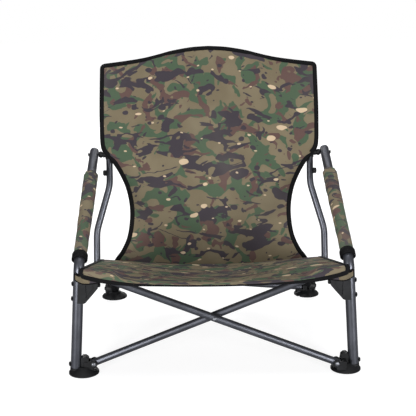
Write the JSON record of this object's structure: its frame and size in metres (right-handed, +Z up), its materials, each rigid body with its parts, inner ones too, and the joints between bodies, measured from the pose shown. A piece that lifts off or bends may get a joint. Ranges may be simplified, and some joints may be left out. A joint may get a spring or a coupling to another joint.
{
  "type": "folding chair",
  "caption": "Low folding armchair with a steel tube frame, crossed braces, cup feet and a camouflage cloth sling seat and back",
  "frame": {"origin": "middle of the chair on the floor, at the bottom centre of its bounding box", "axes": "+Z up; +Y from the front legs to the rear feet, the shorter plan direction; +X to the right in a front view"},
  "size_m": [0.692, 0.602, 0.71],
  "materials": {
    "gunmetal_paint": "smooth dark grey powder coat",
    "black_plastic": "fine-grained black moulding",
    "black_steel": "black coated screw heads",
    "rivet_steel": "bright rivet heads",
    "camouflage_cloth": "woven polyester with a blotched camouflage print"
  },
  "bodies": {
    "left_frame": {"left_side_tube": "gunmetal_paint", "left_arm_end_cap": "gunmetal_paint", "left_arm_sleeve": "camouflage_cloth", "left_back_sleeve": "camouflage_cloth", "left_seat_corner": "camouflage_cloth", "left_arm_pivot_bolt": "black_steel", "left_arm_spacer": "black_plastic", "left_post_collar": "black_plastic", "left_back_post": "gunmetal_paint", "left_post_stud": "black_plastic", "left_post_foot_plug": "black_plastic", "left_gusset": "black_plastic", "left_gusset_upper_bolt": "black_steel", "left_gusset_lower_bolt": "black_steel", "left_side_rail": "gunmetal_paint", "left_rail_front_pin": "black_steel", "left_rail_post_bolt": "black_steel", "left_front_foot_screw": "black_steel", "left_rear_foot_screw": "black_steel", "left_front_foot": "black_plastic", "left_rear_foot": "black_plastic", "left_front_brace_rivet": "rivet_steel", "left_rear_brace_rivet": "rivet_steel", "back_sling": "camouflage_cloth"},
    "front_brace_a": {"front_brace_from_left_foot": "gunmetal_paint", "front_brace_cap_from_left_foot": "black_plastic", "front_cross_rivet": "rivet_steel"},
    "front_brace_b": {"front_brace_from_right_foot": "gunmetal_paint", "front_brace_cap_from_right_foot": "black_plastic"},
    "right_frame": {"right_side_tube": "gunmetal_paint", "right_arm_end_cap": "gunmetal_paint", "right_arm_sleeve": "camouflage_cloth", "right_back_sleeve": "camouflage_cloth", "right_seat_corner": "camouflage_cloth", "right_arm_pivot_bolt": "black_steel", "right_arm_spacer": "black_plastic", "right_post_collar": "black_plastic", "right_back_post": "gunmetal_paint", "right_post_stud": "black_plastic", "right_post_foot_plug": "black_plastic", "right_gusset": "black_plastic", "right_gusset_upper_bolt": "black_steel", "right_gusset_lower_bolt": "black_steel", "right_side_rail": "gunmetal_paint", "right_rail_front_pin": "black_steel", "right_rail_post_bolt": "black_steel", "right_front_foot_screw": "black_steel", "right_rear_foot_screw": "black_steel", "right_front_foot": "black_plastic", "right_rear_foot": "black_plastic", "right_front_brace_rivet": "rivet_steel", "right_rear_brace_rivet": "rivet_steel"},
    "rear_brace_a": {"rear_brace_from_left_foot": "gunmetal_paint", "rear_brace_cap_from_left_foot": "black_plastic", "rear_cross_rivet": "rivet_steel"},
    "rear_brace_b": {"rear_brace_from_right_foot": "gunmetal_paint", "rear_brace_cap_from_right_foot": "black_plastic"},
    "seat": {"seat_sling": "camouflage_cloth"}
  },
  "joints": [
    {"name": "fold", "type": "hinge", "parent": "left_frame", "child": "front_brace_a", "pos_m": [-0.286, -0.273, 0.0236], "axis": [0, -1, 0], "range_deg": [0, 57], "deforming": ["back_sling", "seat_sling"]},
    {"name": "front_cross", "type": "hinge", "parent": "front_brace_a", "child": "front_brace_b", "pos_m": [0, -0.273, 0.1382], "axis": [0, -1, 0], "range_deg": [-114, 0]},
    {"name": "right_foot_front", "type": "hinge", "parent": "front_brace_b", "child": "right_frame", "pos_m": [0.286, -0.273, 0.0236], "axis": [0, -1, 0], "range_deg": [0, 57]},
    {"name": "left_foot_rear", "type": "hinge", "parent": "left_frame", "child": "rear_brace_a", "pos_m": [-0.2546, 0.259, 0.033], "axis": [0, -0.5059, -0.8626], "range_deg": [0, 62.23]},
    {"name": "rear_cross", "type": "hinge", "parent": "rear_brace_a", "child": "rear_brace_b", "pos_m": [0, 0.17098, 0.08462], "axis": [0, -0.5059, -0.8626], "range_deg": [-124.46, 0]},
    {"name": "seat_fold", "type": "hinge", "parent": "left_frame", "child": "seat", "pos_m": [0, 0.121, 0.143], "axis": [-1, 0, 0], "range_deg": [0, 50]}
  ],
  "couplings": [
    {"joint": "front_cross", "follows": "fold", "ratio": -2},
    {"joint": "right_foot_front", "follows": "fold", "ratio": 1},
    {"joint": "left_foot_rear", "follows": "fold", "ratio": 1.0916},
    {"joint": "rear_cross", "follows": "fold", "ratio": -2.1832},
    {"joint": "seat_fold", "follows": "fold", "ratio": 0.87719}
  ]
}
